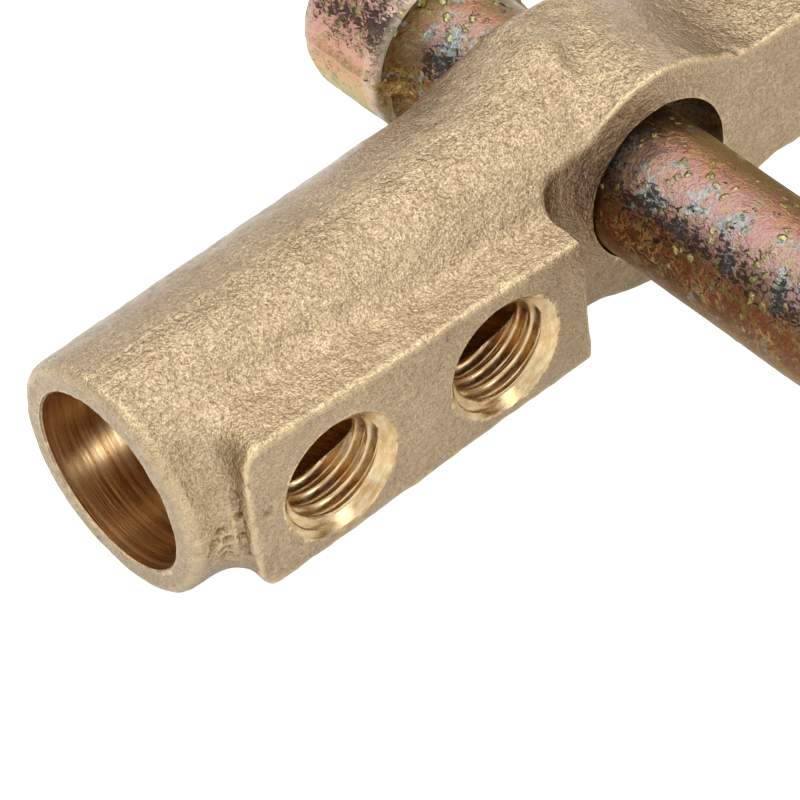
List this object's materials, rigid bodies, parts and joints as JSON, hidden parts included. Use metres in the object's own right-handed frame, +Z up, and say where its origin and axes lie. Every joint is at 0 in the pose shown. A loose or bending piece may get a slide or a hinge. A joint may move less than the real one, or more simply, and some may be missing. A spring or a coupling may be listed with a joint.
{
  "type": "sliding-arm earth clamp",
  "caption": "Sliding-arm earth clamp: cast brass arm with tubular cable socket and contact jaw on a round forged steel bar, second casting with pressure screw, swivel pad and tommy bar.",
  "frame": {"origin": "centre of the cable bore at the mouth of the socket", "axes": "+X along the arm from the cable socket towards the contact jaw, +Y along the slide bar towards its forged head, +Z up, square to the arm and the bar"},
  "size_m": [0.1536, 0.2209, 0.025],
  "materials": {
    "cast_brass": "sand cast, grit blasted, machined bores",
    "copper": "milled copper, slightly tarnished",
    "screw_steel": "zinc plated",
    "yellow_zinc": "hot forged steel, yellow iridescent zinc passivation",
    "yellow_zinc_turned": "turned steel, yellow iridescent zinc passivation",
    "spring_steel": "dark tempered spring steel",
    "ball_steel": "polished bearing steel"
  },
  "bodies": {
    "arm": {"sliding_arm": "cast_brass", "contact_shoe": "copper", "shoe_screws": "screw_steel"},
    "bar": {"slide_bar": "yellow_zinc", "screw_carrier": "cast_brass", "bar_pin": "spring_steel"},
    "ball": {"thrust_ball": "ball_steel"},
    "screw": {"spindle": "yellow_zinc_turned"},
    "pad": {"swivel_pad": "yellow_zinc_turned", "pad_ring": "spring_steel"},
    "tommy": {"tommy_bar": "yellow_zinc", "tommy_collar": "yellow_zinc"}
  },
  "joints": [
    {"name": "bar_slide", "type": "slide", "parent": "arm", "child": "bar", "axis": [0, 1, 0], "range_m": [-0.0035, 0.038]},
    {"name": "screw_travel", "type": "slide", "parent": "bar", "child": "ball", "axis": [0, 1, 0], "range_m": [-0.0001, 0.0301]},
    {"name": "screw_turn", "type": "hinge", "parent": "ball", "child": "screw", "pos_m": [0.1028, -0.089, 0], "axis": [0, 1, 0], "range_deg": [0, 3600]},
    {"name": "pad_tilt", "type": "hinge", "parent": "ball", "child": "pad", "pos_m": [0.1028, -0.089, 0], "axis": [1, 0, 0], "range_deg": [-3, 3]},
    {"name": "tommy_slide", "type": "slide", "parent": "screw", "child": "tommy", "axis": [1, 0, 0], "range_m": [-0.028, 0.028]}
  ],
  "couplings": [
    {"joint": "screw_travel", "follows": "screw_turn", "m_per_rad": 0.00047746}
  ]
}
